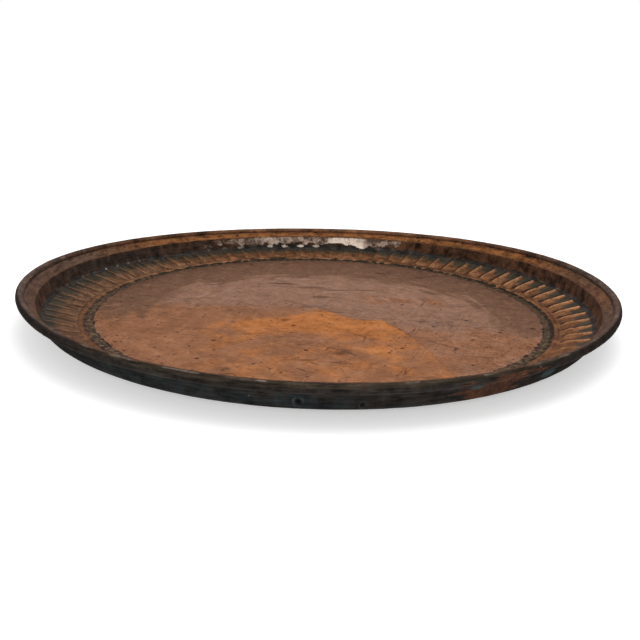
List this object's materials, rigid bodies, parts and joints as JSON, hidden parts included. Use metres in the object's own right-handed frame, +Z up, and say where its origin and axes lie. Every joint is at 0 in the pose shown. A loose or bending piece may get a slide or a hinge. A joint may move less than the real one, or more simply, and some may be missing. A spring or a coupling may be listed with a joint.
{
  "type": "round serving tray",
  "caption": "Large round copper tray: flat floor, chased groove, fluted band, low upright wall and a tilted flange whose edge is rolled over an iron ring.",
  "frame": {"origin": "centre of the flat underside of the floor, the face that the tray rests on", "axes": "+Z up, out of the open side of the tray; +X and +Y level, with one rib of the band on +X"},
  "size_m": [0.6998, 0.6998, 0.0451],
  "materials": {
    "copper_sheet": "worn hammered copper with traces of old tinning and dark green-black patina in the recesses",
    "iron_wire": "dark forge skin with a little rust"
  },
  "bodies": {
    "root": {"tray_sheet": "copper_sheet", "rim_wire": "iron_wire"}
  },
  "joints": []
}
